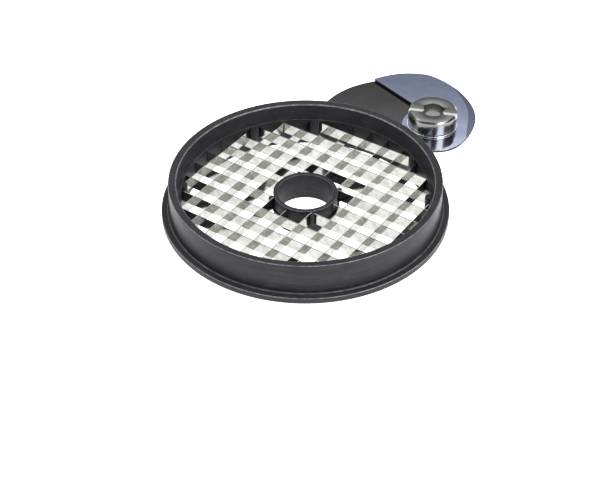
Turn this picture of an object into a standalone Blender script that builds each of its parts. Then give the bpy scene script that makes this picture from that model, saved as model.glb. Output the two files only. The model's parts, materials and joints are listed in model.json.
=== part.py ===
"""Dicing kit of a food processor: a dicing grid and its slicing disc.

The grid is a black moulded ring with a flange, a centre collar and steel strip
blades that cross in half-lap joints.  The slicing disc lies beside it with its
hub up, and can turn about the hub's own axis.  Metres, +Z up; the part stands
on Z = 0 with the middle of its footprint at the origin.
"""
import math

import bmesh
import bpy
from mathutils import Matrix, Vector

MM = 0.001
SMOOTH_ANGLE = math.radians(35.0)

# Driving dimensions of the moulded ring
FLANGE_RADIUS = 95.0 * MM
FLANGE_BOTTOM = 6.2 * MM
FLANGE_TOP = 10.6 * MM
BEAD_RADIUS = 90.9 * MM
BEAD_TOP = 11.2 * MM
SPIGOT_RADIUS = 88.0 * MM
BAND_RADIUS = 87.0 * MM
THROAT_RADIUS = 81.7 * MM
BAND_TOP = 20.5 * MM
WALL_RADIUS = 89.4 * MM
RING_TOP = 31.8 * MM
RIM_LAND_RADIUS = 87.6 * MM
RIM_INNER_RADIUS = 84.6 * MM
EDGE_BREAK = 0.5 * MM
GAP = 0.3 * MM
RING_STEPS = 72

# Bosses and screws that hold the two ring mouldings together
BOSS_ANGLES = [29.5, 60.5, 119.5, 150.5, 209.5, 240.5, 299.5, 330.5]
BOSS_CENTRE_RADIUS = 81.2 * MM
BOSS_RADIUS = 2.9 * MM
BOSS_BOTTOM = 9.6 * MM
SCREW_ANGLES = [29.0, 61.0, 119.0, 151.0, 209.0, 241.0, 299.0, 331.0]
SCREW_CIRCLE_RADIUS = 84.6 * MM
SCREW_RADIUS = 1.0 * MM
SCREW_HEAD_RADIUS = 2.0 * MM
SCREW_HEAD_HEIGHT = 1.4 * MM
SCREW_RECESS = 2.0 * MM
SCREW_TIP = 24.0 * MM
SCREW_STEPS = 12

# Strip blades
BLADE_PITCH = 14.6 * MM
BLADE_THICKNESS = 0.6 * MM
BLADE_BOTTOM = 10.1 * MM
BLADE_TOP = 18.2 * MM
OUTER_ROW = 5
BLADE_END_RADIUS = 84.9 * MM
OUTER_BLADE_END_RADIUS = 82.6 * MM
LAP_CLEARANCE = 0.2 * MM

# Centre collar
COLLAR_BORE_RADIUS = 18.3 * MM
COLLAR_RADIUS = 21.15 * MM
COLLAR_TOP = 18.2 * MM
COLLAR_BLADE_RADIUS = 19.9 * MM
COLLAR_FOOT_RADIUS = 22.4 * MM
COLLAR_FOOT_BOTTOM = 8.4 * MM
COLLAR_FOOT_TOP = 9.8 * MM
CAP_RADIUS = 21.3 * MM
CAP_BOTTOM = 18.5 * MM
CAP_TOP = 19.3 * MM
POST_OFFSET = 16.3 * MM
POST_RADIUS = 1.35 * MM
COLLAR_STEPS = 48

# Slicing disc, measured from its own hub axis
HUB_FROM_GRID = Vector((19.0 * MM, 134.8 * MM, 0.0))
HUB_RADIUS = 17.6 * MM
HUB_TOP = 15.8 * MM
HUB_SEAT = 4.9 * MM
HUB_BORE_RADIUS = 7.9 * MM
HUB_SPIGOT_RADIUS = 10.2 * MM
HUB_SPIGOT_BOTTOM = 0.3 * MM
HUB_CHAMFER = 1.2 * MM
DRIVE_SLOT_WIDTH = 8.5 * MM
DRIVE_SLOT_DEPTH = 3.8 * MM
DRIVE_SLOT_ANGLE = 21.0
HUB_HOLE_RADIUS = 10.8 * MM
WASHER_RADIUS = 18.4 * MM
WASHER_TOP = 4.6 * MM
WING_THICKNESS = 1.5 * MM
CARRIER_THICKNESS = 1.8 * MM
CARRIER_TOP = 3.6 * MM
BEVEL_WIDTH = 6.0 * MM
BEVEL_DROP = 1.1 * MM
HUB_STEPS = 48
OUTLINE_STEP = 3.0

# Runs of (angle in degrees, radius in mm) about the hub; a run is one smooth
# curve, and two runs meet in a corner.
CARRIER_RUNS = [
    [(144.8, 21.3), (157.5, 71.6)],
    [(157.5, 71.6), (151.0, 71.2), (138.0, 69.6), (123.0, 65.8)],
    [(123.0, 65.8), (99.6, 51.8), (76.9, 41.6), (43.8, 32.6), (16.3, 29.2), (-9.4, 29.7)],
    [(-9.4, 29.7), (-39.1, 32.9), (-62.0, 33.0), (-95.0, 28.5), (-140.0, 22.5), (-180.0, 21.0), (-215.2, 21.3)],
]
BEVELLED_RUN = 2
WING_RUNS = [
    [(125.0, 24.9), (150.4, 69.4)],
    [(150.4, 69.4), (157.5, 71.4), (174.5, 77.7), (191.2, 82.3), (206.0, 85.0)],
    [(206.0, 85.0), (212.0, 68.0), (222.0, 50.0), (236.0, 36.0), (256.0, 26.5), (285.0, 21.0)],
    [(285.0, 21.0), (320.0, 20.0), (400.0, 20.0), (460.0, 20.5), (485.0, 24.9)],
]


def material(name, colour, metallic, roughness):
    """Plain Principled material of one finish."""
    made = bpy.data.materials.new(name)
    made.use_nodes = True
    shader = made.node_tree.nodes["Principled BSDF"]
    shader.inputs["Base Color"].default_value = (*colour, 1.0)
    shader.inputs["Metallic"].default_value = metallic
    shader.inputs["Roughness"].default_value = roughness
    return made


def empty(name, location):
    """Parent point for a group of parts."""
    point = bpy.data.objects.new(name, None)
    point.location = location
    PARTS.objects.link(point)
    return point


def place(name, mesh, finish, parent, collection=None):
    """Object from a mesh, in the parts' collection unless another is given."""
    made = bpy.data.objects.new(name, mesh)
    made.parent = parent
    if finish:
        mesh.materials.append(finish)
    (collection or PARTS).objects.link(made)
    return made


def baked(source):
    """Mesh of a working object with its modifiers applied; the working object goes."""
    PARTS.objects.link(source)
    bpy.context.view_layer.update()
    mesh = bpy.data.meshes.new_from_object(source.evaluated_get(bpy.context.evaluated_depsgraph_get()))
    bpy.data.objects.remove(source)
    return mesh


def turned(name, profile, steps, finish, parent, closed=True):
    """Solid of revolution from a (radius, height) profile, outer side first and downward."""
    section = bpy.data.meshes.new(name)
    points = [(radius, 0.0, height) for radius, height in profile]
    edges = [(i, (i + 1) % len(points)) for i in range(len(points) if closed else len(points) - 1)]
    section.from_pydata(points, edges, [])
    source = bpy.data.objects.new(name, section)
    screw = source.modifiers.new("turn", "SCREW")
    screw.steps = steps
    screw.render_steps = steps
    screw.use_merge_vertices = True
    screw.merge_threshold = 0.00001
    mesh = baked(source)
    mesh.shade_smooth()
    mesh.set_sharp_from_angle(angle=SMOOTH_ANGLE)
    return place(name, mesh, finish, parent)


def cutter_mesh(name, build, parent):
    """Hidden operand for a Boolean; build fills its bmesh."""
    mesh = bpy.data.meshes.new(name)
    shape = bmesh.new()
    build(shape)
    shape.to_mesh(mesh)
    shape.free()
    made = place(name, mesh, None, parent, CUTTERS)
    made.hide_render = True
    made.display_type = "WIRE"
    return made


def combine(target, operand, operation):
    """Boolean of the target with the operand."""
    boolean = target.modifiers.new(operand.name, "BOOLEAN")
    boolean.object = operand
    boolean.operation = operation
    boolean.solver = "EXACT"


def add_box(shape, low, high):
    """Box between two corners."""
    size = Vector(high) - Vector(low)
    middle = (Vector(high) + Vector(low)) / 2
    matrix = Matrix.Translation(middle) @ Matrix.Diagonal((*size, 1.0))
    bmesh.ops.create_cube(shape, size=1.0, matrix=matrix)


def add_cylinder(shape, x, y, radius, bottom, top, segments=16):
    """Upright cylinder."""
    matrix = Matrix.Translation((x, y, (bottom + top) / 2))
    bmesh.ops.create_cone(shape, cap_ends=True, segments=segments, radius1=radius, radius2=radius,
                          depth=top - bottom, matrix=matrix)


def on_circle(radius, angle):
    """Point on a circle, angle in degrees."""
    turn = math.radians(angle)
    return radius * math.cos(turn), radius * math.sin(turn)


def smooth_run(anchors):
    """Points along a smooth curve through (angle, radius in mm) anchors, last one left out."""
    if len(anchors) == 2:
        return [on_circle(anchors[0][1] * MM, anchors[0][0])]
    points = []
    for i in range(len(anchors) - 1):
        before = anchors[max(i - 1, 0)]
        start = anchors[i]
        end = anchors[i + 1]
        after = anchors[min(i + 2, len(anchors) - 1)]
        steps = max(1, round(abs(end[0] - start[0]) / OUTLINE_STEP))
        for k in range(steps):
            t = k / steps
            angle = start[0] + t * (end[0] - start[0])
            tangent_in = (end[1] - before[1]) / (end[0] - before[0]) * (end[0] - start[0])
            tangent_out = (after[1] - start[1]) / (after[0] - start[0]) * (end[0] - start[0])
            radius = ((2 * t ** 3 - 3 * t ** 2 + 1) * start[1] + (t ** 3 - 2 * t ** 2 + t) * tangent_in
                      + (3 * t ** 2 - 2 * t ** 3) * end[1] + (t ** 3 - t ** 2) * tangent_out)
            points.append(on_circle(radius * MM, angle))
    return points


def outline(runs):
    """Closed outline made of smooth runs."""
    return [point for run in runs for point in smooth_run(run)]


def ring_of(radius, steps):
    """Regular polygon standing for a circle."""
    return [on_circle(radius, 360.0 * i / steps) for i in range(steps)]


def flat_plate(name, outlines, thickness, bottom, finish, parent):
    """Plate of even thickness from closed outlines, holes included."""
    curve = bpy.data.curves.new(name, "CURVE")
    curve.dimensions = "2D"
    curve.fill_mode = "BOTH"
    curve.extrude = thickness / 2
    for points in outlines:
        spline = curve.splines.new("POLY")
        spline.points.add(len(points) - 1)
        spline.use_cyclic_u = True
        for target, (x, y) in zip(spline.points, points):
            target.co = (x, y, 0.0, 1.0)
    mesh = baked(bpy.data.objects.new(name, curve))
    bpy.data.curves.remove(curve)
    shape = bmesh.new()
    shape.from_mesh(mesh)
    bmesh.ops.remove_doubles(shape, verts=shape.verts, dist=0.000001)
    bmesh.ops.recalc_face_normals(shape, faces=shape.faces)
    bmesh.ops.translate(shape, verts=shape.verts, vec=(0.0, 0.0, bottom + thickness / 2))
    shape.to_mesh(mesh)
    shape.free()
    return place(name, mesh, finish, parent)


def half_chord(radius, offset):
    """Half the chord of a circle at an offset from its centre."""
    return math.sqrt(radius ** 2 - offset ** 2)


def blade_spans(row):
    """Stretches of one blade line: one span, or two where the collar interrupts it."""
    offset = row * BLADE_PITCH
    end_radius = OUTER_BLADE_END_RADIUS if abs(row) == OUTER_ROW else BLADE_END_RADIUS
    end = half_chord(end_radius, offset)
    if abs(offset) < COLLAR_BLADE_RADIUS:
        start = half_chord(COLLAR_BLADE_RADIUS, offset)
        return [(-end, -start), (start, end)]
    return [(-end, end)]


def crossings(row, span):
    """Offsets at which crossing blades pass through one span of a line."""
    offset = row * BLADE_PITCH
    found = []
    for other in range(-OUTER_ROW, OUTER_ROW + 1):
        place_on_span = other * BLADE_PITCH
        inside = span[0] < place_on_span < span[1]
        if inside and any(low < offset < high for low, high in blade_spans(other)):
            found.append(place_on_span)
    return found


def blade_outline(row, span, slots_up):
    """Side view of a strip blade with its half-lap slots, along the strip and upward."""
    middle = (BLADE_BOTTOM + BLADE_TOP) / 2
    half_slot = BLADE_THICKNESS / 2 + LAP_CLEARANCE
    slotted_edge = BLADE_TOP if slots_up else BLADE_BOTTOM
    plain_edge = BLADE_BOTTOM if slots_up else BLADE_TOP
    floor = middle - GAP / 2 if slots_up else middle + GAP / 2
    points = [(span[0], slotted_edge)]
    for centre in crossings(row, span):
        points.append((centre - half_slot, slotted_edge))
        points.append((centre - half_slot, floor))
        points.append((centre + half_slot, floor))
        points.append((centre + half_slot, slotted_edge))
    points.append((span[1], slotted_edge))
    points.append((span[1], plain_edge))
    points.append((span[0], plain_edge))
    return points


def make_blade(name, row, span, along_x, parent):
    """Strip blade standing on edge, along X or along Y."""
    blade = flat_plate(name, [blade_outline(row, span, along_x)], BLADE_THICKNESS,
                       -BLADE_THICKNESS / 2, STEEL_BLADE, parent)
    blade.rotation_euler = (math.radians(90), 0.0, 0.0 if along_x else math.radians(90))
    offset = row * BLADE_PITCH
    blade.location = (0.0, offset, 0.0) if along_x else (offset, 0.0, 0.0)
    return blade


def make_blades(parent):
    """Both directions of strip blades; lines 5, 6 and 7 are in two halves."""
    for row in range(-OUTER_ROW, OUTER_ROW + 1):
        number = row + OUTER_ROW + 1
        spans = blade_spans(row)
        for half, span in enumerate(spans):
            row_side = "" if len(spans) == 1 else ("_left", "_right")[half]
            column_side = "" if len(spans) == 1 else ("_front", "_rear")[half]
            make_blade(f"row_blade_{number}{row_side}", row, span, True, parent)
            make_blade(f"column_blade_{number}{column_side}", row, span, False, parent)


def slot_boxes(along_x, rows, span_of):
    """Builder of the slots that the blade ends sit in."""
    half_width = BLADE_THICKNESS / 2 + LAP_CLEARANCE
    bottom = BLADE_BOTTOM - GAP
    top = RING_TOP

    def build(shape):
        for row in rows:
            offset = row * BLADE_PITCH
            for low, high in span_of(row):
                if along_x:
                    add_box(shape, (low, offset - half_width, bottom), (high, offset + half_width, top))
                else:
                    add_box(shape, (offset - half_width, low, bottom), (offset + half_width, high, top))
    return build


def whole_line(row):
    """Slot from one side of the band to the other, past both blade ends."""
    end = blade_spans(row)[-1][1] + GAP
    return [(-end, end)]


def collar_line(row):
    """Two slots that start inside the collar's wall."""
    start = blade_spans(row)[-1][0] - GAP
    far = 2 * COLLAR_RADIUS
    return [(-far, -start), (start, far)]


def screw_cylinders(radius, bottom, top, segments=16):
    """Builder of one cylinder at each screw."""
    def build(shape):
        for angle in SCREW_ANGLES:
            x, y = on_circle(SCREW_CIRCLE_RADIUS, angle)
            add_cylinder(shape, x, y, radius, bottom, top, segments)
    return build


def make_base_ring(parent):
    """Lower moulding: spigot, flange, bead and the slotted band that carries the blades."""
    profile = [
        (BAND_RADIUS, BAND_TOP),
        (BAND_RADIUS, BEAD_TOP),
        (BEAD_RADIUS - 0.2 * MM, BEAD_TOP),
        (BEAD_RADIUS, FLANGE_TOP + 0.3 * MM),
        (BEAD_RADIUS, FLANGE_TOP),
        (FLANGE_RADIUS - EDGE_BREAK, FLANGE_TOP),
        (FLANGE_RADIUS, FLANGE_TOP - EDGE_BREAK),
        (FLANGE_RADIUS, FLANGE_BOTTOM + EDGE_BREAK),
        (FLANGE_RADIUS - EDGE_BREAK, FLANGE_BOTTOM),
        (SPIGOT_RADIUS, FLANGE_BOTTOM),
        (SPIGOT_RADIUS, EDGE_BREAK),
        (SPIGOT_RADIUS - EDGE_BREAK, 0.0),
        (THROAT_RADIUS, 0.0),
        (THROAT_RADIUS, BAND_TOP),
    ]
    ring = turned("base_ring", profile, RING_STEPS, PLASTIC, parent)

    def bosses(shape):
        for angle in BOSS_ANGLES:
            x, y = on_circle(BOSS_CENTRE_RADIUS, angle)
            add_cylinder(shape, x, y, BOSS_RADIUS, BOSS_BOTTOM, BAND_TOP - 0.2 * MM, 20)

    rows = range(-OUTER_ROW, OUTER_ROW + 1)
    combine(ring, cutter_mesh("base_bosses", bosses, parent), "UNION")
    combine(ring, cutter_mesh("row_slots", slot_boxes(True, rows, whole_line), parent), "DIFFERENCE")
    combine(ring, cutter_mesh("column_slots", slot_boxes(False, rows, whole_line), parent), "DIFFERENCE")
    shanks = screw_cylinders(SCREW_RADIUS + GAP, -MM, RING_TOP)
    combine(ring, cutter_mesh("base_screw_holes", shanks, parent), "DIFFERENCE")
    heads = screw_cylinders(SCREW_HEAD_RADIUS + GAP, -MM, SCREW_RECESS + SCREW_HEAD_HEIGHT)
    combine(ring, cutter_mesh("screw_recesses", heads, parent), "DIFFERENCE")


def make_upper_ring(parent):
    """Upper moulding: outer wall, stepped rim and the tapered throat above the blades."""
    profile = [
        (WALL_RADIUS - EDGE_BREAK, RING_TOP),
        (WALL_RADIUS, RING_TOP - EDGE_BREAK),
        (WALL_RADIUS, BEAD_TOP + GAP),
        (BAND_RADIUS + GAP, BEAD_TOP + GAP),
        (BAND_RADIUS + GAP, BAND_TOP + GAP),
        (THROAT_RADIUS, BAND_TOP + GAP),
        (RIM_INNER_RADIUS - EDGE_BREAK, RING_TOP - 2 * EDGE_BREAK),
        (RIM_INNER_RADIUS, RING_TOP - EDGE_BREAK),
        (RIM_LAND_RADIUS, RING_TOP),
    ]
    ring = turned("upper_ring", profile, RING_STEPS, PLASTIC, parent)
    holes = screw_cylinders(SCREW_RADIUS + GAP, 0.0, SCREW_TIP + GAP)
    combine(ring, cutter_mesh("upper_screw_holes", holes, parent), "DIFFERENCE")


def make_ring_screws(parent):
    """Eight pan head screws, driven up from the flange's underside."""
    head_top = SCREW_RECESS + SCREW_HEAD_HEIGHT - GAP
    profile = [
        (0.0, SCREW_TIP),
        (SCREW_RADIUS, SCREW_TIP),
        (SCREW_RADIUS, head_top),
        (SCREW_HEAD_RADIUS, head_top),
        (SCREW_HEAD_RADIUS, SCREW_RECESS),
        (0.0, SCREW_RECESS),
    ]
    for number, angle in enumerate(SCREW_ANGLES, 1):
        screw = turned(f"ring_screw_{number}", profile, SCREW_STEPS, STEEL_TURNED, parent, closed=False)
        x, y = on_circle(SCREW_CIRCLE_RADIUS, angle)
        screw.location = (x, y, 0.0)


def make_collar(parent):
    """Slotted collar body with a foot and four corner posts, and the cap over its slots."""
    body_profile = [
        (COLLAR_RADIUS, COLLAR_TOP),
        (COLLAR_RADIUS, COLLAR_FOOT_TOP),
        (COLLAR_FOOT_RADIUS, COLLAR_FOOT_TOP),
        (COLLAR_FOOT_RADIUS, COLLAR_FOOT_BOTTOM),
        (COLLAR_RADIUS, COLLAR_FOOT_BOTTOM),
        (COLLAR_RADIUS, EDGE_BREAK),
        (COLLAR_RADIUS - EDGE_BREAK, 0.0),
        (COLLAR_BORE_RADIUS, 0.0),
        (COLLAR_BORE_RADIUS, COLLAR_TOP),
    ]
    body = turned("collar_body", body_profile, COLLAR_STEPS, PLASTIC, parent)

    def posts(shape):
        for x in (-POST_OFFSET, POST_OFFSET):
            for y in (-POST_OFFSET, POST_OFFSET):
                add_cylinder(shape, x, y, POST_RADIUS, COLLAR_FOOT_BOTTOM, COLLAR_TOP - 0.2 * MM, 14)

    combine(body, cutter_mesh("collar_posts", posts, parent), "UNION")
    rows = (-1, 0, 1)
    combine(body, cutter_mesh("collar_row_slots", slot_boxes(True, rows, collar_line), parent), "DIFFERENCE")
    combine(body, cutter_mesh("collar_column_slots", slot_boxes(False, rows, collar_line), parent), "DIFFERENCE")
    cap_profile = [
        (CAP_RADIUS - 0.4 * MM, CAP_TOP),
        (CAP_RADIUS, CAP_TOP - 0.3 * MM),
        (CAP_RADIUS, CAP_BOTTOM),
        (COLLAR_BORE_RADIUS, CAP_BOTTOM),
        (COLLAR_BORE_RADIUS, CAP_TOP - 0.4 * MM),
        (COLLAR_BORE_RADIUS + 0.6 * MM, CAP_TOP),
    ]
    turned("collar_cap", cap_profile, COLLAR_STEPS, PLASTIC, parent)


def make_hub(parent):
    """Machined hub with a through bore and a drive slot across its top."""
    profile = [
        (HUB_RADIUS - HUB_CHAMFER, HUB_TOP),
        (HUB_RADIUS, HUB_TOP - HUB_CHAMFER),
        (HUB_RADIUS, HUB_SEAT + EDGE_BREAK),
        (HUB_RADIUS - EDGE_BREAK, HUB_SEAT),
        (HUB_SPIGOT_RADIUS, HUB_SEAT),
        (HUB_SPIGOT_RADIUS, HUB_SPIGOT_BOTTOM),
        (HUB_BORE_RADIUS, HUB_SPIGOT_BOTTOM),
        (HUB_BORE_RADIUS, HUB_TOP - 0.6 * MM),
        (HUB_BORE_RADIUS + 0.6 * MM, HUB_TOP),
    ]
    hub = turned("hub", profile, HUB_STEPS, STEEL_TURNED, parent)

    def slot(shape):
        half = DRIVE_SLOT_WIDTH / 2
        add_box(shape, (-2 * HUB_RADIUS, -half, HUB_TOP - DRIVE_SLOT_DEPTH), (2 * HUB_RADIUS, half, 2 * HUB_TOP))

    cutter = cutter_mesh("drive_slot", slot, parent)
    cutter.rotation_euler = (0.0, 0.0, math.radians(DRIVE_SLOT_ANGLE))
    combine(hub, cutter, "DIFFERENCE")
    washer_profile = [
        (WASHER_RADIUS, WASHER_TOP),
        (WASHER_RADIUS, CARRIER_TOP + GAP),
        (HUB_HOLE_RADIUS, CARRIER_TOP + GAP),
        (HUB_HOLE_RADIUS, WASHER_TOP),
    ]
    turned("hub_washer", washer_profile, HUB_STEPS, STEEL_TURNED, parent)


def bevel_inset():
    """Inset of the carrier's upper outline at each outline point; only one run is ground."""
    insets = []
    for number, run in enumerate(CARRIER_RUNS):
        count = len(smooth_run(run))
        for i in range(count):
            along = i / count
            insets.append(BEVEL_WIDTH * math.sin(math.pi * along) if number == BEVELLED_RUN else 0.0)
    return insets


def make_carrier(parent):
    """Carrier plate: a flat top whose right-hand edge is ground to a wide bevel."""
    edge = outline(CARRIER_RUNS)
    insets = bevel_inset()
    bottom = CARRIER_TOP - CARRIER_THICKNESS
    shape = bmesh.new()
    hole = ring_of(HUB_HOLE_RADIUS, HUB_STEPS)
    levels = []
    for height, shift in ((bottom, 0.0), (None, 0.0), (CARRIER_TOP, 1.0)):
        loop = []
        for (x, y), inset in zip(edge, insets):
            radius = math.hypot(x, y)
            scale = (radius - shift * inset) / radius
            drop = BEVEL_DROP * inset / BEVEL_WIDTH
            z = CARRIER_TOP - drop if height is None else height
            loop.append(shape.verts.new((x * scale, y * scale, z)))
        levels.append(loop)
    inner = [[shape.verts.new((x, y, z)) for x, y in hole] for z in (bottom, CARRIER_TOP)]
    count = len(edge)
    for i in range(count):
        j = (i + 1) % count
        shape.faces.new((levels[0][i], levels[0][j], levels[1][j], levels[1][i]))
        shape.faces.new((levels[1][i], levels[1][j], levels[2][j], levels[2][i]))
    for i in range(HUB_STEPS):
        j = (i + 1) % HUB_STEPS
        shape.faces.new((inner[0][i], inner[0][j], inner[1][j], inner[1][i]))
    for outer_loop, inner_loop in ((levels[0], inner[0]), (levels[2], inner[1])):
        border = [shape.edges.get((a, b)) for a, b in zip(outer_loop, outer_loop[1:] + outer_loop[:1])]
        border += [shape.edges.get((a, b)) for a, b in zip(inner_loop, inner_loop[1:] + inner_loop[:1])]
        bmesh.ops.triangle_fill(shape, use_beauty=True, use_dissolve=False, edges=border)
    bmesh.ops.remove_doubles(shape, verts=shape.verts, dist=0.000001)
    bmesh.ops.recalc_face_normals(shape, faces=shape.faces)
    mesh = bpy.data.meshes.new("carrier_plate")
    shape.to_mesh(mesh)
    shape.free()
    place("carrier_plate", mesh, STEEL_MIRROR, parent)


def make_slicing_disc(parent):
    """Sickle wing, carrier plate, washer and hub."""
    hole = ring_of(HUB_HOLE_RADIUS, HUB_STEPS)
    flat_plate("sickle_wing", [outline(WING_RUNS), hole], WING_THICKNESS, 0.0, STEEL_MIRROR, parent)
    make_carrier(parent)
    make_hub(parent)


for old in list(bpy.data.objects):
    bpy.data.objects.remove(old)
PARTS = bpy.data.collections.new("dicing_kit")
CUTTERS = bpy.data.collections.new("cutters")
bpy.context.scene.collection.children.link(PARTS)
bpy.context.scene.collection.children.link(CUTTERS)

PLASTIC = material("black moulded plastic", (0.055, 0.055, 0.062), 0.0, 0.42)
STEEL_BLADE = material("polished blade steel", (0.62, 0.62, 0.61), 1.0, 0.12)
STEEL_MIRROR = material("mirror polished steel", (0.60, 0.61, 0.64), 1.0, 0.05)
STEEL_TURNED = material("turned steel", (0.60, 0.60, 0.59), 1.0, 0.25)

disc_rear_edge = HUB_FROM_GRID.y + max(y for _, y in outline(CARRIER_RUNS))
GRID_CENTRE = Vector((0.0, (FLANGE_RADIUS - disc_rear_edge) / 2, 0.0))
grid = empty("dicing_grid", GRID_CENTRE)
disc = empty("slicing_disc_axis", GRID_CENTRE + HUB_FROM_GRID)
make_base_ring(grid)
make_upper_ring(grid)
make_ring_screws(grid)
make_collar(grid)
make_blades(grid)
make_slicing_disc(disc)
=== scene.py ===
"""Looks of a food processor's dicing kit: a black dicing grid and its slicing disc.

The grid is a two-part moulded ring crossed by ground strip blades, with a collar
in the middle.  The slicing disc is a polished sickle sheet under a carrier plate,
with a turned steel hub.  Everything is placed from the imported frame, in metres.
"""
import json
import math

import bmesh
import bpy
from mathutils import Matrix, Vector


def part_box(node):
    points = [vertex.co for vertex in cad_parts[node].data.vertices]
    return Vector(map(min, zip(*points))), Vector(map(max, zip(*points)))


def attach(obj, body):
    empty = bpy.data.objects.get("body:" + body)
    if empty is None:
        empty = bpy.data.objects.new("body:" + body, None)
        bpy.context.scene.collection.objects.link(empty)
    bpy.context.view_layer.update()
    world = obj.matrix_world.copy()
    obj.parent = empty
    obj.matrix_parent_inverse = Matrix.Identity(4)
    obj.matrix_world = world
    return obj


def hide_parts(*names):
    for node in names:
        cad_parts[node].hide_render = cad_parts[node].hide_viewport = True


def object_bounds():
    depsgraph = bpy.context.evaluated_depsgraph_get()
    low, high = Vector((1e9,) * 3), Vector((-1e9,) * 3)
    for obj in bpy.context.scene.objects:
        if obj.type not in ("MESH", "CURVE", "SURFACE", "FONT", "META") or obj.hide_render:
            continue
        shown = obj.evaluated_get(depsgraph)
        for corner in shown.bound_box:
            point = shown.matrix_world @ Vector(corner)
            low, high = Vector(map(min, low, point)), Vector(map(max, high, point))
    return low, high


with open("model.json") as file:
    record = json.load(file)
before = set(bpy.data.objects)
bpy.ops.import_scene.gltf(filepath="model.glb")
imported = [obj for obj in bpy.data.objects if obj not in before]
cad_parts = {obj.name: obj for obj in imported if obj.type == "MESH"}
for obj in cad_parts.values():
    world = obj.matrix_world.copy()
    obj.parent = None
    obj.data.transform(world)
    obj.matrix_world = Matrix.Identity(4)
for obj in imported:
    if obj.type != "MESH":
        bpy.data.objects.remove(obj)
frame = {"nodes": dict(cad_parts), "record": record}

CAD_LOW, CAD_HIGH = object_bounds()
MM = 0.001

# Places and outer sizes, read from the frame
RING_LOW, RING_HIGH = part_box("base_ring")
WALL_LOW, WALL_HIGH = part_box("upper_ring")
COLLAR_LOW, COLLAR_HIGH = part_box("collar_body")
CAP_LOW, CAP_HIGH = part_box("collar_cap")
HUB_LOW, HUB_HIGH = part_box("hub")
WASHER_LOW, WASHER_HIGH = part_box("hub_washer")
BLADE_LOW, BLADE_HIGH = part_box("row_blade_2")
GRID_AXIS = Vector(((RING_LOW.x + RING_HIGH.x) / 2, (RING_LOW.y + RING_HIGH.y) / 2, 0.0))
HUB_AXIS = Vector(frame["record"]["behaviour"]["joints"][0]["pos_m"])
FLANGE_RADIUS = (RING_HIGH.x - RING_LOW.x) / 2
WALL_RADIUS = (WALL_HIGH.x - WALL_LOW.x) / 2
RING_TOP = WALL_HIGH.z
COLLAR_FOOT_RADIUS = (COLLAR_HIGH.x - COLLAR_LOW.x) / 2
COLLAR_TOP = COLLAR_HIGH.z
CAP_RADIUS = (CAP_HIGH.x - CAP_LOW.x) / 2
HUB_RADIUS = (HUB_HIGH.x - HUB_LOW.x) / 2
WASHER_RADIUS = (WASHER_HIGH.x - WASHER_LOW.x) / 2

# Mesh tolerances, with the angle in degrees
SAME_PLACE = 0.01 * MM
WELD_DISTANCE = 0.002 * MM
ON_PLANE = 0.001 * MM
FLAT_ANGLE = 0.5

# Ring mouldings
FLANGE_BOTTOM = 6.2 * MM
FLANGE_TOP = 10.6 * MM
BEAD_RADIUS = 90.9 * MM
BEAD_TOP = 11.2 * MM
SPIGOT_RADIUS = 88.0 * MM
BAND_RADIUS = 87.0 * MM
BAND_TOP = RING_HIGH.z
THROAT_RADIUS = 81.7 * MM
RIM_LAND_RADIUS = 87.6 * MM
RIM_INNER_RADIUS = 84.6 * MM
GAP = 0.3 * MM
RING_STEPS = 192
POST_STEPS = 32
FILLET_STEPS = 4
FILLET_SHARE = 0.45
RIM_STEP = 0.5 * MM
TIP_DROP = 0.2 * MM
MOULDING_SMOOTH_ANGLE = 32
# Upper fillets leaning between these are painted paler as a painted highlight
HIGHLIGHT_LEAN_LOW = 0.3
HIGHLIGHT_LEAN_HIGH = 0.97
BOSS_ANGLES = [quarter + angle for quarter in (0, 90, 180, 270) for angle in (29.5, 60.5)]
BOSS_CENTRE_RADIUS = 81.2 * MM
BOSS_RADIUS = 2.9 * MM
BOSS_BOTTOM = 9.6 * MM

# Strip blades
BLADE_PITCH = 14.6 * MM
OUTER_ROW = 5
SLOT_HALF_WIDTH = 0.5 * MM
JOINT_HALF_WIDTH = 0.31 * MM
BLADE_END_RADIUS = 84.9 * MM
OUTER_BLADE_END_RADIUS = 82.6 * MM
GROUND_HEIGHT = 0.25 * MM
GROUND_KEEP = 0.55

# Collar
COLLAR_RADIUS = 21.15 * MM
COLLAR_BORE_RADIUS = 18.3 * MM
COLLAR_FOOT_BOTTOM = 8.4 * MM
COLLAR_FOOT_TOP = 9.8 * MM
COLLAR_BLADE_RADIUS = 19.9 * MM
POST_OFFSET = 16.3 * MM
POST_RADIUS = 1.35 * MM

# Hub
HUB_SEAT = 4.9 * MM
HUB_BORE_RADIUS = 7.9 * MM
HUB_SPIGOT_RADIUS = 10.2 * MM
DRIVE_SLOT_WIDTH = 8.5 * MM
DRIVE_SLOT_DEPTH = 3.8 * MM
DRIVE_SLOT_ANGLE = 21.0
HUB_CHAMFER = 1.2 * MM
WASHER_CLEARANCE = 0.6 * MM
HUB_STEPS = 128
HUB_SMOOTH_ANGLE = 25

# Sheets
SHEET_SMOOTH_ANGLE = 8
BROKEN_EDGE_ANGLE = 40
UPRIGHT_LEAN = 0.5
SICKLE_BROKEN_EDGE = 0.12 * MM
CARRIER_BROKEN_EDGE = 0.15 * MM

# Camera, given by where it stands round the grid: degrees, metres, and millimetres for the lens
CAMERA_AZIMUTH = 34.28
CAMERA_ELEVATION = 38.348
CAMERA_DISTANCE = 0.8616
CAMERA_YAW = 0.240
CAMERA_PITCH = -1.450
CAMERA_LENS = 77.898
CAMERA_SENSOR = 36.0
CAMERA_NEAR = 0.05

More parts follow.
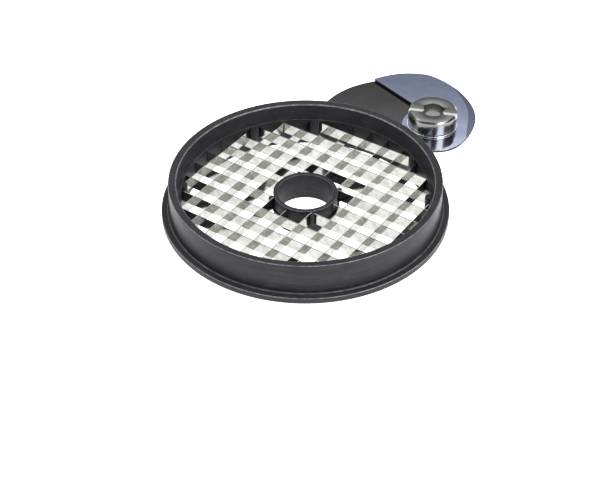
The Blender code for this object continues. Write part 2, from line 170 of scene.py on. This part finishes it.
# Room light: (sine of the direction's rise, colour), from level with the table to straight up
ROOM_STOPS = [
    (0.0, "#B8BABC"),
    (0.14, "#96989C"),
    (0.30, "#5C5E64"),
    (0.45, "#4A4C52"),
    (0.55, "#3A3C42"),
    (0.75, "#4C4D50"),
    (1.0, "#77787A"),
]
WINDOW_STOPS = [
    (0.0, "#B8BABC"),
    (0.14, "#96989C"),
    (0.30, "#5C5E64"),
    (0.54, "#6C6E74"),
    (0.553, "#787B84"),
    (0.566, "#898D98"),
    (0.576, "#B2B6BE"),
    (0.585, "#F3F5F8"),
    (0.80, "#FFFFFF"),
    (0.88, "#5A5B5E"),
    (1.0, "#77787A"),
]

# The window fades in where the cosine of the angle to its azimuth runs through WINDOW_FADE
WINDOW_AZIMUTH = CAMERA_AZIMUTH + 180.0
WINDOW_FADE = (0.35, 0.65)
ROOM_STRENGTH = 2.0
FLOOR_HALF_SIZE = 4.0
FLOOR_DROP = 0.05 * MM
FLOOR_GLOW = 1.35

# Softboxes: name, azimuth and elevation in degrees, distance and size in metres, watts
SOFTBOXES = [
    ("high_left_softbox", -75.0, 60.0, 1.1, (0.8, 0.8), 7.0),
    ("high_right_softbox", 112.0, 60.0, 1.1, (0.8, 0.8), 7.0),
    ("front_softbox", 12.0, 34.0, 1.2, (0.7, 0.5), 3.0),
    ("right_softbox", 76.0, 37.0, 1.2, (0.5, 0.7), 9.0),
]


# ---------------------------------------------------------------- materials

def linear(code):
    """Linear colour of an sRGB hex code."""
    values = [int(code[i:i + 2], 16) / 255 for i in (1, 3, 5)]
    return [v / 12.92 if v <= 0.04045 else ((v + 0.055) / 1.055) ** 2.4 for v in values] + [1.0]


def add_node(tree, kind, inputs=(), **settings):
    """One shader node; each input is a value or the output that feeds it."""
    made = tree.nodes.new(kind)
    for name, value in settings.items():
        setattr(made, name, value)
    for name, value in dict(inputs).items():
        if isinstance(value, bpy.types.NodeSocket):
            tree.links.new(value, made.inputs[name])
        else:
            made.inputs[name].default_value = value
    return made


def new_material(name):
    """Empty node material; returns it with its tree and its Principled shader."""
    made = bpy.data.materials.new(name)
    made.use_nodes = True
    return made, made.node_tree, made.node_tree.nodes["Principled BSDF"]


def stretched_noise(tree, stretch, detail=3.0):
    """Noise over the object's own coordinates, in cells per metre along X, Y and Z."""
    place = add_node(tree, "ShaderNodeTexCoord")
    mapping = add_node(tree, "ShaderNodeMapping", {"Vector": place.outputs["Object"], "Scale": stretch})
    inputs = {"Vector": mapping.outputs["Vector"], "Scale": 1.0, "Detail": detail, "Roughness": 0.6}
    return add_node(tree, "ShaderNodeTexNoise", inputs)


def between(tree, factor, low, high):
    """Number that runs from low to high as the factor runs from 0.3 to 0.7."""
    made = add_node(tree, "ShaderNodeMapRange",
                    {"Value": factor, "From Min": 0.3, "From Max": 0.7, "To Min": low, "To Max": high})
    return made.outputs["Result"]


def lathe_lines(tree, spacing):
    """Wave of rings about the object's own Z axis, one ring per spacing in metres."""
    place = add_node(tree, "ShaderNodeTexCoord")
    flat = add_node(tree, "ShaderNodeVectorMath",
                    {0: place.outputs["Object"], 1: (1.0, 1.0, 0.0)}, operation="MULTIPLY")
    reach = add_node(tree, "ShaderNodeVectorMath", {0: flat.outputs["Vector"]}, operation="LENGTH")
    height = add_node(tree, "ShaderNodeSeparateXYZ", {"Vector": place.outputs["Object"]})
    along = add_node(tree, "ShaderNodeMath",
                     {0: reach.outputs["Value"], 1: height.outputs["Z"]}, operation="ADD")
    turns = add_node(tree, "ShaderNodeMath",
                     {0: along.outputs["Value"], 1: 2 * math.pi / spacing}, operation="MULTIPLY")
    wave = add_node(tree, "ShaderNodeMath", {0: turns.outputs["Value"]}, operation="SINE")
    return wave.outputs["Value"]


def moulded_plastic():
    """Black glass-filled polypropylene: satin from the mould, with faint grey streaks round its walls."""
    made, tree, shader = new_material("moulded_black_polypropylene")
    # Streaks 29 mm long and 1.6 mm tall, mottling 11 mm across
    streaks = stretched_noise(tree, (35.0, 35.0, 620.0), 3.0)
    mottle = stretched_noise(tree, (90.0, 90.0, 90.0), 4.0)
    blend = add_node(tree, "ShaderNodeMath",
                     {0: streaks.outputs["Fac"], 1: mottle.outputs["Fac"]}, operation="MULTIPLY")
    scaled = add_node(tree, "ShaderNodeMath", {0: blend.outputs["Value"], 1: 2.0}, operation="MULTIPLY")
    tint = add_node(tree, "ShaderNodeMix", {"Factor": scaled.outputs["Value"]}, data_type="RGBA")
    tint.inputs["A"].default_value = linear("#19191B")
    tint.inputs["B"].default_value = linear("#323235")
    tree.links.new(tint.outputs["Result"], shader.inputs["Base Color"])
    tree.links.new(between(tree, mottle.outputs["Fac"], 0.36, 0.48), shader.inputs["Roughness"])
    # Spark-eroded grain of 0.6 mm and mould rings of 0.9 mm, both drawn coarse enough to show
    grain = stretched_noise(tree, (1600.0, 1600.0, 1600.0), 2.0)
    lines = add_node(tree, "ShaderNodeBump",
                     {"Height": lathe_lines(tree, 0.9 * MM), "Strength": 0.10, "Distance": 0.02 * MM})
    bump = add_node(tree, "ShaderNodeBump", {"Height": grain.outputs["Fac"], "Strength": 0.25,
                                             "Distance": 0.03 * MM, "Normal": lines.outputs["Normal"]})
    tree.links.new(bump.outputs["Normal"], shader.inputs["Normal"])
    shader.inputs["IOR"].default_value = 1.49
    shader.inputs["Specular IOR Level"].default_value = 0.12
    return made


def highlight_plastic():
    """The same polypropylene painted paler: a painted highlight on the upper fillets."""
    made, tree, shader = new_material("polypropylene_painted_edge_highlight")
    # Painted highlight, broken into patches 3 mm long
    highlight_patches = stretched_noise(tree, (320.0, 320.0, 320.0), 3.0)
    tone = add_node(tree, "ShaderNodeMix",
                    {"Factor": between(tree, highlight_patches.outputs["Fac"], 0.0, 1.0)}, data_type="RGBA")
    tone.inputs["A"].default_value = linear("#343437")
    tone.inputs["B"].default_value = linear("#77777B")
    tree.links.new(tone.outputs["Result"], shader.inputs["Base Color"])
    tree.links.new(between(tree, highlight_patches.outputs["Fac"], 0.28, 0.40), shader.inputs["Roughness"])
    shader.inputs["IOR"].default_value = 1.49
    return made


def strip_steel():
    """Cold-rolled stainless strip: bright, with rolling lines along its length and faint water stains."""
    made, tree, shader = new_material("cold_rolled_stainless_strip")
    # Rolling lines 0.6 mm apart, drawn coarse enough to show; stains 5 mm across
    rolled = stretched_noise(tree, (60.0, 60.0, 1600.0), 3.0)
    stain = stretched_noise(tree, (210.0, 210.0, 210.0), 4.0)
    tone = add_node(tree, "ShaderNodeMix",
                    {"Factor": between(tree, stain.outputs["Fac"], 0.0, 1.0)}, data_type="RGBA")
    tone.inputs["A"].default_value = linear("#94948F")
    tone.inputs["B"].default_value = linear("#B2B2AE")
    tree.links.new(tone.outputs["Result"], shader.inputs["Base Color"])
    shader.inputs["Metallic"].default_value = 1.0
    tree.links.new(between(tree, rolled.outputs["Fac"], 0.07, 0.14), shader.inputs["Roughness"])
    bump = add_node(tree, "ShaderNodeBump",
                    {"Height": rolled.outputs["Fac"], "Strength": 0.15, "Distance": 0.01 * MM})
    tree.links.new(bump.outputs["Normal"], shader.inputs["Normal"])
    return made


def ground_edge_steel():
    """Ground cutting edge: matt from the stone, so it spreads the light that the faces mirror."""
    made, tree, shader = new_material("ground_stainless_edge")
    # Upright grinding lines 0.4 mm apart, drawn coarse enough to show
    ground = stretched_noise(tree, (2400.0, 2400.0, 300.0), 2.0)
    shader.inputs["Base Color"].default_value = linear("#8C8C8A")
    shader.inputs["Metallic"].default_value = 1.0
    tree.links.new(between(tree, ground.outputs["Fac"], 0.45, 0.60), shader.inputs["Roughness"])
    return made


def mirror_sheet(name, colour):
    """Mirror-polished stainless sheet: a faint ripple in its reflections and hairline scratches."""
    made, tree, shader = new_material(name)
    # Ripple 36 mm across; hairlines 7 mm long and 0.24 mm apart
    ripple = stretched_noise(tree, (28.0, 28.0, 28.0), 1.0)
    hairlines = stretched_noise(tree, (140.0, 4200.0, 100.0), 2.0)
    shader.inputs["Base Color"].default_value = linear(colour)
    shader.inputs["Metallic"].default_value = 1.0
    tree.links.new(between(tree, hairlines.outputs["Fac"], 0.05, 0.13), shader.inputs["Roughness"])
    wavy = add_node(tree, "ShaderNodeBump",
                    {"Height": ripple.outputs["Fac"], "Strength": 0.25, "Distance": 0.25 * MM})
    fine = add_node(tree, "ShaderNodeBump", {"Height": hairlines.outputs["Fac"], "Strength": 0.04,
                                             "Distance": 0.01 * MM, "Normal": wavy.outputs["Normal"]})
    tree.links.new(fine.outputs["Normal"], shader.inputs["Normal"])
    return made


def turned_steel(name, colour, low, high):
    """Lathe-turned stainless: rings from the tool on its faces and round its sides."""
    made, tree, shader = new_material(name)
    # Smears 2.5 mm long; tool rings 1.3 mm apart, drawn coarse enough to show
    smear = stretched_noise(tree, (400.0, 400.0, 2500.0), 2.0)
    shader.inputs["Base Color"].default_value = linear(colour)
    shader.inputs["Metallic"].default_value = 1.0
    tree.links.new(between(tree, smear.outputs["Fac"], low, high), shader.inputs["Roughness"])
    bump = add_node(tree, "ShaderNodeBump",
                    {"Height": lathe_lines(tree, 1.3 * MM), "Strength": 0.08, "Distance": 0.04 * MM})
    tree.links.new(bump.outputs["Normal"], shader.inputs["Normal"])
    return made


def shaded_sheared_edge():
    """Cut side of the sheet, dull from the shears and painted dark grey as painted shade."""
    made, tree, shader = new_material("sheared_stainless_edge_painted_shade")
    # Upright tear marks 1.1 mm apart
    torn = stretched_noise(tree, (900.0, 900.0, 300.0), 2.0)
    # Dark grey: painted shade along the sheet's upright sides
    shader.inputs["Base Color"].default_value = linear("#3C3C40")
    shader.inputs["Metallic"].default_value = 1.0
    tree.links.new(between(tree, torn.outputs["Fac"], 0.4, 0.6), shader.inputs["Roughness"])
    return made


def milled_steel():
    """Floor of the hub's drive slot, matt from the end mill and painted pale as a painted highlight."""
    made, tree, shader = new_material("milled_stainless")
    # Cutter marks 1.1 mm across
    swirl = stretched_noise(tree, (900.0, 900.0, 900.0), 2.0)
    # Near-white: painted highlight on the level slot floor
    shader.inputs["Base Color"].default_value = linear("#F2F2F0")
    shader.inputs["Metallic"].default_value = 0.6
    tree.links.new(between(tree, swirl.outputs["Fac"], 0.32, 0.44), shader.inputs["Roughness"])
    return made


# ---------------------------------------------------------------- shapes

def add_piece(name, mesh, finish, body, nodes, place=Vector((0.0, 0.0, 0.0))):
    """Piece that rides on a body and stands for CAD nodes."""
    made = bpy.data.objects.new(name, mesh)
    made.location = place
    bpy.context.scene.collection.objects.link(made)
    mesh.materials.clear()
    mesh.materials.append(finish)
    bpy.context.view_layer.update()
    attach(made, body)
    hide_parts(*nodes)
    return made


def rounded(profile):
    """Closed (radius, height, fillet) profile with each corner turned to a small curve.

    A fillet takes up at most FILLET_SHARE of each side that it joins.
    """
    points = []
    for i, (radius, height, fillet) in enumerate(profile):
        corner = Vector((radius, height))
        before = Vector(profile[i - 1][:2]) - corner
        after = Vector(profile[(i + 1) % len(profile)][:2]) - corner
        if not fillet:
            points.append(corner)
            continue
        start = corner + before.normalized() * min(fillet, before.length * FILLET_SHARE)
        end = corner + after.normalized() * min(fillet, after.length * FILLET_SHARE)
        for k in range(FILLET_STEPS + 1):
            t = k / FILLET_STEPS
            points.append(start * (1 - t) ** 2 + corner * 2 * t * (1 - t) + end * t ** 2)
    return points


def turned(name, profile, steps):
    """Mesh turned about Z from a closed profile, outer side first and downward."""
    section = bpy.data.meshes.new(name)
    points = [(p.x, 0.0, p.y) for p in rounded(profile)]
    section.from_pydata(points, [(i, (i + 1) % len(points)) for i in range(len(points))], [])
    source = bpy.data.objects.new(name, section)
    bpy.context.scene.collection.objects.link(source)
    screw = source.modifiers.new("turn", "SCREW")
    screw.steps = steps
    screw.render_steps = steps
    screw.use_merge_vertices = True
    screw.merge_threshold = SAME_PLACE
    return evaluated(source)


def evaluated(source):
    """Mesh of a working object with its modifiers applied; the working object goes."""
    bpy.context.view_layer.update()
    mesh = bpy.data.meshes.new_from_object(source.evaluated_get(bpy.context.evaluated_depsgraph_get()))
    bpy.data.objects.remove(source)
    return mesh


def smooth(mesh, angle):
    """Smooth shading with edges sharper than the angle kept crisp."""
    mesh.shade_smooth()
    mesh.set_sharp_from_angle(angle=math.radians(angle))


def combined(mesh, operands):
    """Mesh after one Boolean with each (shape, operation) in turn."""
    source = bpy.data.objects.new(mesh.name, mesh)
    bpy.context.scene.collection.objects.link(source)
    tools = []
    for shape, operation in operands:
        tool_mesh = bpy.data.meshes.new("tool")
        shape.to_mesh(tool_mesh)
        shape.free()
        tool = bpy.data.objects.new("tool", tool_mesh)
        bpy.context.scene.collection.objects.link(tool)
        boolean = source.modifiers.new("cut", "BOOLEAN")
        boolean.object = tool
        boolean.operation = operation
        boolean.solver = "EXACT"
        tools.append(tool)
    result = evaluated(source)
    for tool in tools:
        bpy.data.objects.remove(tool)
    return result


def add_box(shape, low, high, turn=0.0):
    """Box between two corners, turned about Z."""
    low, high = Vector(low), Vector(high)
    matrix = (Matrix.Rotation(turn, 4, "Z") @ Matrix.Translation((low + high) / 2)
              @ Matrix.Diagonal((*(high - low), 1.0)))
    bmesh.ops.create_cube(shape, size=1.0, matrix=matrix)


def add_post(shape, x, y, radius, bottom, top):
    """Upright round post."""
    matrix = Matrix.Translation((x, y, (bottom + top) / 2))
    bmesh.ops.create_cone(shape, cap_ends=True, segments=POST_STEPS, radius1=radius, radius2=radius,
                          depth=top - bottom, matrix=matrix)


def half_chord(radius, offset):
    """Half the chord of a circle at an offset from its centre."""
    return math.sqrt(radius ** 2 - offset ** 2)


def band_slots():
    """Slots across the ring, one for each blade line both ways."""
    slots = []
    for along_x in (True, False):
        shape = bmesh.new()
        for row in range(-OUTER_ROW, OUTER_ROW + 1):
            offset = row * BLADE_PITCH
            end_radius = OUTER_BLADE_END_RADIUS if abs(row) == OUTER_ROW else BLADE_END_RADIUS
            end = half_chord(end_radius, offset) + GAP
            low = (-end, offset - SLOT_HALF_WIDTH, BLADE_LOW.z - GAP)
            high = (end, offset + SLOT_HALF_WIDTH, BLADE_HIGH.z + GAP)
            if not along_x:
                low = (low[1], low[0], low[2])
                high = (high[1], high[0], high[2])
            add_box(shape, low, high)
        slots.append((shape, "DIFFERENCE"))
    return slots


def ring_bosses():
    """Half-round bosses inside the ring, beside the ends of the outer blades."""
    shape = bmesh.new()
    for angle in BOSS_ANGLES:
        turn = math.radians(angle)
        add_post(shape, BOSS_CENTRE_RADIUS * math.cos(turn), BOSS_CENTRE_RADIUS * math.sin(turn),
                 BOSS_RADIUS, BOSS_BOTTOM, BAND_TOP - TIP_DROP)
    return [(shape, "UNION")]


def paint_edge_highlights(piece, highlight_finish):
    """Gives the upper fillets, whose faces lean between level and upright, the painted-highlight finish.
    """
    piece.data.materials.append(highlight_finish)
    for face in piece.data.polygons:
        face.material_index = 1 if HIGHLIGHT_LEAN_LOW < face.normal.z < HIGHLIGHT_LEAN_HIGH else 0


def make_base_ring(finish, highlight_finish):
    """Lower moulding: spigot, flange, bead and slotted band."""
    profile = [
        (BAND_RADIUS, BAND_TOP, 0.2 * MM),
        (BAND_RADIUS, BEAD_TOP, 0.0),
        (BEAD_RADIUS, BEAD_TOP, 0.35 * MM),
        (BEAD_RADIUS, FLANGE_TOP, 0.25 * MM),
        (FLANGE_RADIUS, FLANGE_TOP, 0.8 * MM),
        (FLANGE_RADIUS, FLANGE_BOTTOM, 0.8 * MM),
        (SPIGOT_RADIUS, FLANGE_BOTTOM, 0.3 * MM),
        (SPIGOT_RADIUS, RING_LOW.z, 0.6 * MM),
        (THROAT_RADIUS, RING_LOW.z, 0.6 * MM),
        (THROAT_RADIUS, BAND_TOP, 0.2 * MM),
    ]
    mesh = combined(turned("base_ring_moulding", profile, RING_STEPS), ring_bosses() + band_slots())
    smooth(mesh, MOULDING_SMOOTH_ANGLE)
    piece = add_piece("base_ring_moulding", mesh, finish, "grid", ["base_ring"], GRID_AXIS)
    paint_edge_highlights(piece, highlight_finish)


def make_upper_ring(finish, highlight_finish):
    """Upper moulding: outer wall, stepped rim and tapered throat."""
    profile = [
        (WALL_RADIUS, RING_TOP, 0.7 * MM),
        (WALL_RADIUS, BEAD_TOP + GAP, 0.25 * MM),
        (BAND_RADIUS + GAP, BEAD_TOP + GAP, 0.0),
        (BAND_RADIUS + GAP, BAND_TOP + GAP, 0.0),
        (THROAT_RADIUS, BAND_TOP + GAP, 0.3 * MM),
        (RIM_INNER_RADIUS - RIM_STEP, RING_TOP - 2 * RIM_STEP, 0.4 * MM),
        (RIM_INNER_RADIUS, RING_TOP - RIM_STEP, 0.3 * MM),
        (RIM_LAND_RADIUS, RING_TOP, 0.4 * MM),
    ]
    mesh = turned("upper_ring_moulding", profile, RING_STEPS)
    smooth(mesh, MOULDING_SMOOTH_ANGLE)
    piece = add_piece("upper_ring_moulding", mesh, finish, "grid", ["upper_ring"], GRID_AXIS)
    paint_edge_highlights(piece, highlight_finish)


def make_collar(finish, highlight_finish):
    """Collar body with foot, posts and slots, and the lipped cap over it."""
    body_profile = [
        (COLLAR_RADIUS, COLLAR_TOP, 0.2 * MM),
        (COLLAR_RADIUS, COLLAR_FOOT_TOP, 0.2 * MM),
        (COLLAR_FOOT_RADIUS, COLLAR_FOOT_TOP, 0.3 * MM),
        (COLLAR_FOOT_RADIUS, COLLAR_FOOT_BOTTOM, 0.3 * MM),
        (COLLAR_RADIUS, COLLAR_FOOT_BOTTOM, 0.2 * MM),
        (COLLAR_RADIUS, COLLAR_LOW.z, 0.6 * MM),
        (COLLAR_BORE_RADIUS, COLLAR_LOW.z, 0.4 * MM),
        (COLLAR_BORE_RADIUS, COLLAR_TOP, 0.2 * MM),
    ]
    posts = bmesh.new()
    for x in (-POST_OFFSET, POST_OFFSET):
        for y in (-POST_OFFSET, POST_OFFSET):
            add_post(posts, x, y, POST_RADIUS, COLLAR_FOOT_BOTTOM, COLLAR_TOP - TIP_DROP)
    row_slots = bmesh.new()
    column_slots = bmesh.new()
    for row in (-1, 0, 1):
        offset = row * BLADE_PITCH
        start = half_chord(COLLAR_BLADE_RADIUS, offset) - GAP
        for side in (-1, 1):
            ends = sorted((side * start, side * 2 * COLLAR_RADIUS))
            low, high = BLADE_LOW.z - GAP, RING_TOP
            across = (offset - SLOT_HALF_WIDTH, offset + SLOT_HALF_WIDTH)
            add_box(row_slots, (ends[0], across[0], low), (ends[1], across[1], high))
            add_box(column_slots, (across[0], ends[0], low), (across[1], ends[1], high))
    mesh = combined(turned("collar_moulding", body_profile, HUB_STEPS),
                    [(posts, "UNION"), (row_slots, "DIFFERENCE"), (column_slots, "DIFFERENCE")])
    smooth(mesh, MOULDING_SMOOTH_ANGLE)
    add_piece("collar_moulding", mesh, finish, "grid", ["collar_body"], GRID_AXIS)
    cap_profile = [
        (CAP_RADIUS, CAP_HIGH.z, 0.35 * MM),
        (CAP_RADIUS, CAP_LOW.z, 0.15 * MM),
        (COLLAR_BORE_RADIUS, CAP_LOW.z, 0.15 * MM),
        (COLLAR_BORE_RADIUS, CAP_HIGH.z, 0.4 * MM),
    ]
    cap = turned("collar_cap_moulding", cap_profile, HUB_STEPS)
    smooth(cap, MOULDING_SMOOTH_ANGLE)
    piece = add_piece("collar_cap_moulding", cap, finish, "grid", ["collar_cap"], GRID_AXIS)
    paint_edge_highlights(piece, highlight_finish)


def node_copy(node):
    """Welded copy of a CAD node's mesh, with flat areas merged and no stored normals."""
    mesh = frame["nodes"][node].data.copy()
    if "custom_normal" in mesh.attributes:
        mesh.attributes.remove(mesh.attributes["custom_normal"])
    mesh.shade_flat()
    shape = bmesh.new()
    shape.from_mesh(mesh)
    bmesh.ops.remove_doubles(shape, verts=shape.verts, dist=WELD_DISTANCE)
    bmesh.ops.dissolve_limit(shape, angle_limit=math.radians(FLAT_ANGLE), verts=shape.verts,
                             edges=shape.edges)
    return mesh, shape


def make_blade(node, steel, edge_steel):
    """Strip blade with its lap joints drawn tight and its upper edge ground from both sides."""
    low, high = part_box(node)
    mesh, shape = node_copy(node)
    across = 1 if high.x - low.x > high.y - low.y else 0
    middle = (low[across] + high[across]) / 2
    ground_from = high.z - GROUND_HEIGHT
    bmesh.ops.bisect_plane(shape, geom=[*shape.verts, *shape.edges, *shape.faces], dist=ON_PLANE,
                           plane_co=(0.0, 0.0, ground_from), plane_no=(0.0, 0.0, 1.0))
    along = 1 - across
    for vert in shape.verts:
        reach = vert.co[along] - GRID_AXIS[along]
        joint = round(reach / BLADE_PITCH) * BLADE_PITCH
        if abs(abs(reach - joint) - SLOT_HALF_WIDTH) < SAME_PLACE:
            vert.co[along] = GRID_AXIS[along] + joint + math.copysign(JOINT_HALF_WIDTH, reach - joint)
        if vert.co.z > high.z - SAME_PLACE:
            vert.co[across] = middle + (vert.co[across] - middle) * GROUND_KEEP
    for face in shape.faces:
        face.material_index = 1 if face.calc_center_median().z > ground_from else 0
    shape.to_mesh(mesh)
    shape.free()
    piece = add_piece(node.replace("blade", "strip"), mesh, steel, "grid", [node])
    piece.data.materials.append(edge_steel)


def make_blades():
    """All the strip blades, from the CAD nodes' own names."""
    steel = strip_steel()
    edge_steel = ground_edge_steel()
    for node in sorted(frame["nodes"]):
        if "_blade_" in node:
            make_blade(node, steel, edge_steel)


def make_sheet(name, node, finish, edge_finish, edge_width):
    """Sheet part with a fine broken edge all round and its sheared sides painted darker as painted shade.
    """
    mesh, shape = node_copy(node)
    shape.to_mesh(mesh)
    shape.free()
    mesh.transform(Matrix.Translation(-HUB_AXIS))
    source = bpy.data.objects.new(name, mesh)
    bpy.context.scene.collection.objects.link(source)
    bevel = source.modifiers.new("broken edge", "BEVEL")
    bevel.width = edge_width
    bevel.segments = 2
    bevel.limit_method = "ANGLE"
    bevel.angle_limit = math.radians(BROKEN_EDGE_ANGLE)
    bevelled = evaluated(source)
    smooth(bevelled, SHEET_SMOOTH_ANGLE)
    piece = add_piece(name, bevelled, finish, "slicer", [node], HUB_AXIS)
    piece.data.materials.append(edge_finish)
    for face in piece.data.polygons:
        face.material_index = 1 if abs(face.normal.z) < UPRIGHT_LEAN else 0


def make_hub(finish, washer_finish, slot_finish):
    """Hub with chamfers, through bore and drive slot, and the washer ring under it."""
    profile = [
        (HUB_RADIUS - HUB_CHAMFER, HUB_HIGH.z, 0.15 * MM),
        (HUB_RADIUS, HUB_HIGH.z - HUB_CHAMFER, 0.15 * MM),
        (HUB_RADIUS, HUB_SEAT, 0.5 * MM),
        (HUB_SPIGOT_RADIUS, HUB_SEAT, 0.0),
        (HUB_SPIGOT_RADIUS, HUB_LOW.z, 0.4 * MM),
        (HUB_BORE_RADIUS, HUB_LOW.z, 0.3 * MM),
        (HUB_BORE_RADIUS, HUB_HIGH.z, 0.5 * MM),
    ]
    slot = bmesh.new()
    half = DRIVE_SLOT_WIDTH / 2
    add_box(slot, (-2 * HUB_RADIUS, -half, HUB_HIGH.z - DRIVE_SLOT_DEPTH),
            (2 * HUB_RADIUS, half, 2 * HUB_HIGH.z), math.radians(DRIVE_SLOT_ANGLE))
    mesh = combined(turned("hub_turning", profile, HUB_STEPS), [(slot, "DIFFERENCE")])
    smooth(mesh, HUB_SMOOTH_ANGLE)
    piece = add_piece("hub_turning", mesh, finish, "slicer", ["hub"], HUB_AXIS)
    piece.data.materials.append(slot_finish)
    slot_floor = HUB_HIGH.z - DRIVE_SLOT_DEPTH
    for face in piece.data.polygons:
        face.material_index = 1 if abs(face.center.z - slot_floor) < SAME_PLACE else 0
    hole = HUB_SPIGOT_RADIUS + WASHER_CLEARANCE
    washer_profile = [
        (WASHER_RADIUS, WASHER_HIGH.z, 0.25 * MM),
        (WASHER_RADIUS, WASHER_LOW.z, 0.1 * MM),
        (hole, WASHER_LOW.z, 0.1 * MM),
        (hole, WASHER_HIGH.z, 0.1 * MM),
    ]
    washer = turned("hub_washer_turning", washer_profile, HUB_STEPS)
    smooth(washer, MOULDING_SMOOTH_ANGLE)
    add_piece("hub_washer_turning", washer, washer_finish, "slicer",
              ["hub_washer"], HUB_AXIS)


# ---------------------------------------------------------------- studio

def toward(azimuth, elevation):
    turn, rise = math.radians(azimuth), math.radians(elevation)
    return Vector((math.sin(turn) * math.cos(rise), -math.cos(turn) * math.cos(rise), math.sin(rise)))


def make_floor():
    """White table that glows, so that it stays even all round."""
    mesh = bpy.data.meshes.new("studio_floor")
    shape = bmesh.new()
    bmesh.ops.create_grid(shape, x_segments=1, y_segments=1, size=FLOOR_HALF_SIZE)
    shape.to_mesh(mesh)
    shape.free()
    floor = bpy.data.objects.new("studio_floor", mesh)
    floor.location = (0.0, 0.0, CAD_LOW.z - FLOOR_DROP)
    bpy.context.scene.collection.objects.link(floor)
    made, _, shader = new_material("white_table")
    shader.inputs["Base Color"].default_value = linear("#F4F4F4")
    shader.inputs["Roughness"].default_value = 0.9
    shader.inputs["Specular IOR Level"].default_value = 0.1
    shader.inputs["Emission Color"].default_value = linear("#FFFFFF")
    shader.inputs["Emission Strength"].default_value = FLOOR_GLOW
    mesh.materials.append(made)


def height_colours(tree, height, stops):
    """Colour that follows the direction's rise, from a list of (sine of rise, colour)."""
    ramp = add_node(tree, "ShaderNodeValToRGB", {"Fac": height})
    elements = ramp.color_ramp.elements
    while len(elements) < len(stops):
        elements.new(0.5)
    for element, (position, colour) in zip(elements, stops):
        element.position = position
        element.color = linear(colour)
    return ramp.outputs["Color"]


def make_world():
    """Dim room with a long white window high behind the table."""
    world = bpy.data.worlds.new("studio")
    bpy.context.scene.world = world
    world.use_nodes = True
    tree = world.node_tree
    place = add_node(tree, "ShaderNodeTexCoord")
    height = add_node(tree, "ShaderNodeSeparateXYZ", {"Vector": place.outputs["Generated"]}).outputs["Z"]
    window_side = toward(WINDOW_AZIMUTH, 0.0)
    facing = add_node(tree, "ShaderNodeVectorMath",
                      {0: place.outputs["Generated"], 1: window_side}, operation="DOT_PRODUCT")
    share = add_node(tree, "ShaderNodeMapRange",
                     {"Value": facing.outputs["Value"], "From Min": WINDOW_FADE[0],
                      "From Max": WINDOW_FADE[1]})
    room = height_colours(tree, height, ROOM_STOPS)
    window = height_colours(tree, height, WINDOW_STOPS)
    blend = add_node(tree, "ShaderNodeMix", {"Factor": share.outputs["Result"]}, data_type="RGBA")
    tree.links.new(room, blend.inputs["A"])
    tree.links.new(window, blend.inputs["B"])
    background = tree.nodes["Background"]
    tree.links.new(blend.outputs["Result"], background.inputs["Color"])
    background.inputs["Strength"].default_value = ROOM_STRENGTH


def make_softbox(name, azimuth, elevation, distance, size, power):
    light = bpy.data.lights.new(name, "AREA")
    light.shape = "RECTANGLE"
    light.size, light.size_y = size
    light.energy = power
    back = toward(azimuth, elevation)
    made = bpy.data.objects.new(name, light)
    made.location = back * distance
    made.rotation_mode = "QUATERNION"
    made.rotation_quaternion = (-back).to_track_quat("-Z", "Y")
    bpy.context.scene.collection.objects.link(made)


def make_camera():
    back = toward(CAMERA_AZIMUTH, CAMERA_ELEVATION)
    turn = math.radians(CAMERA_AZIMUTH)
    right = Vector((math.cos(turn), math.sin(turn), 0.0))
    up = back.cross(right)
    stand = GRID_AXIS + Vector((0.0, 0.0, FLANGE_BOTTOM)) + back * CAMERA_DISTANCE
    facing = Matrix((right, up, back)).transposed()
    yaw = Matrix.Rotation(math.radians(CAMERA_YAW), 3, "Y")
    pitch = Matrix.Rotation(math.radians(CAMERA_PITCH), 3, "X")
    camera = bpy.data.cameras.new("camera")
    camera.lens = CAMERA_LENS
    camera.sensor_width = CAMERA_SENSOR
    camera.clip_start = CAMERA_NEAR
    made = bpy.data.objects.new("camera", camera)
    made.matrix_world = Matrix.Translation(stand) @ (facing @ yaw @ pitch).to_4x4()
    bpy.context.scene.collection.objects.link(made)
    bpy.context.scene.camera = made


make_camera()
plastic = moulded_plastic()
edge_highlight = highlight_plastic()
make_base_ring(plastic, edge_highlight)
make_upper_ring(plastic, edge_highlight)
make_collar(plastic, edge_highlight)
make_blades()
shaded_sides = shaded_sheared_edge()
# Dark warm grey: a painted reflection of dark surroundings on the polished sickle
sickle_steel = mirror_sheet("mirror_polished_sickle", "#66635E")
make_sheet("sickle_sheet", "sickle_wing", sickle_steel, shaded_sides, SICKLE_BROKEN_EDGE)
# Pale blue-grey: a painted reflection on the polished carrier, the same steel as the sickle
carrier_steel = mirror_sheet("mirror_polished_carrier", "#B4BACC")
make_sheet("carrier_sheet", "carrier_plate", carrier_steel, shaded_sides, CARRIER_BROKEN_EDGE)
# Same turned stainless twice: the hub painted darker as painted shade, the washer painted pale as a
# painted highlight
make_hub(turned_steel("turned_stainless_hub", "#787876", 0.16, 0.24),
         turned_steel("washer_steel_painted_highlight", "#E4E4E2", 0.2, 0.3), milled_steel())
screw_steel = turned_steel("zinc_plated_screw", "#BEC0C0", 0.25, 0.4)
for node, cad_object in frame["nodes"].items():
    if node.startswith("ring_screw"):
        cad_object.data.materials.clear()
        cad_object.data.materials.append(screw_steel)
make_floor()
make_world()
for softbox in SOFTBOXES:
    make_softbox(*softbox)
bpy.context.scene.view_settings.view_transform = "Standard"
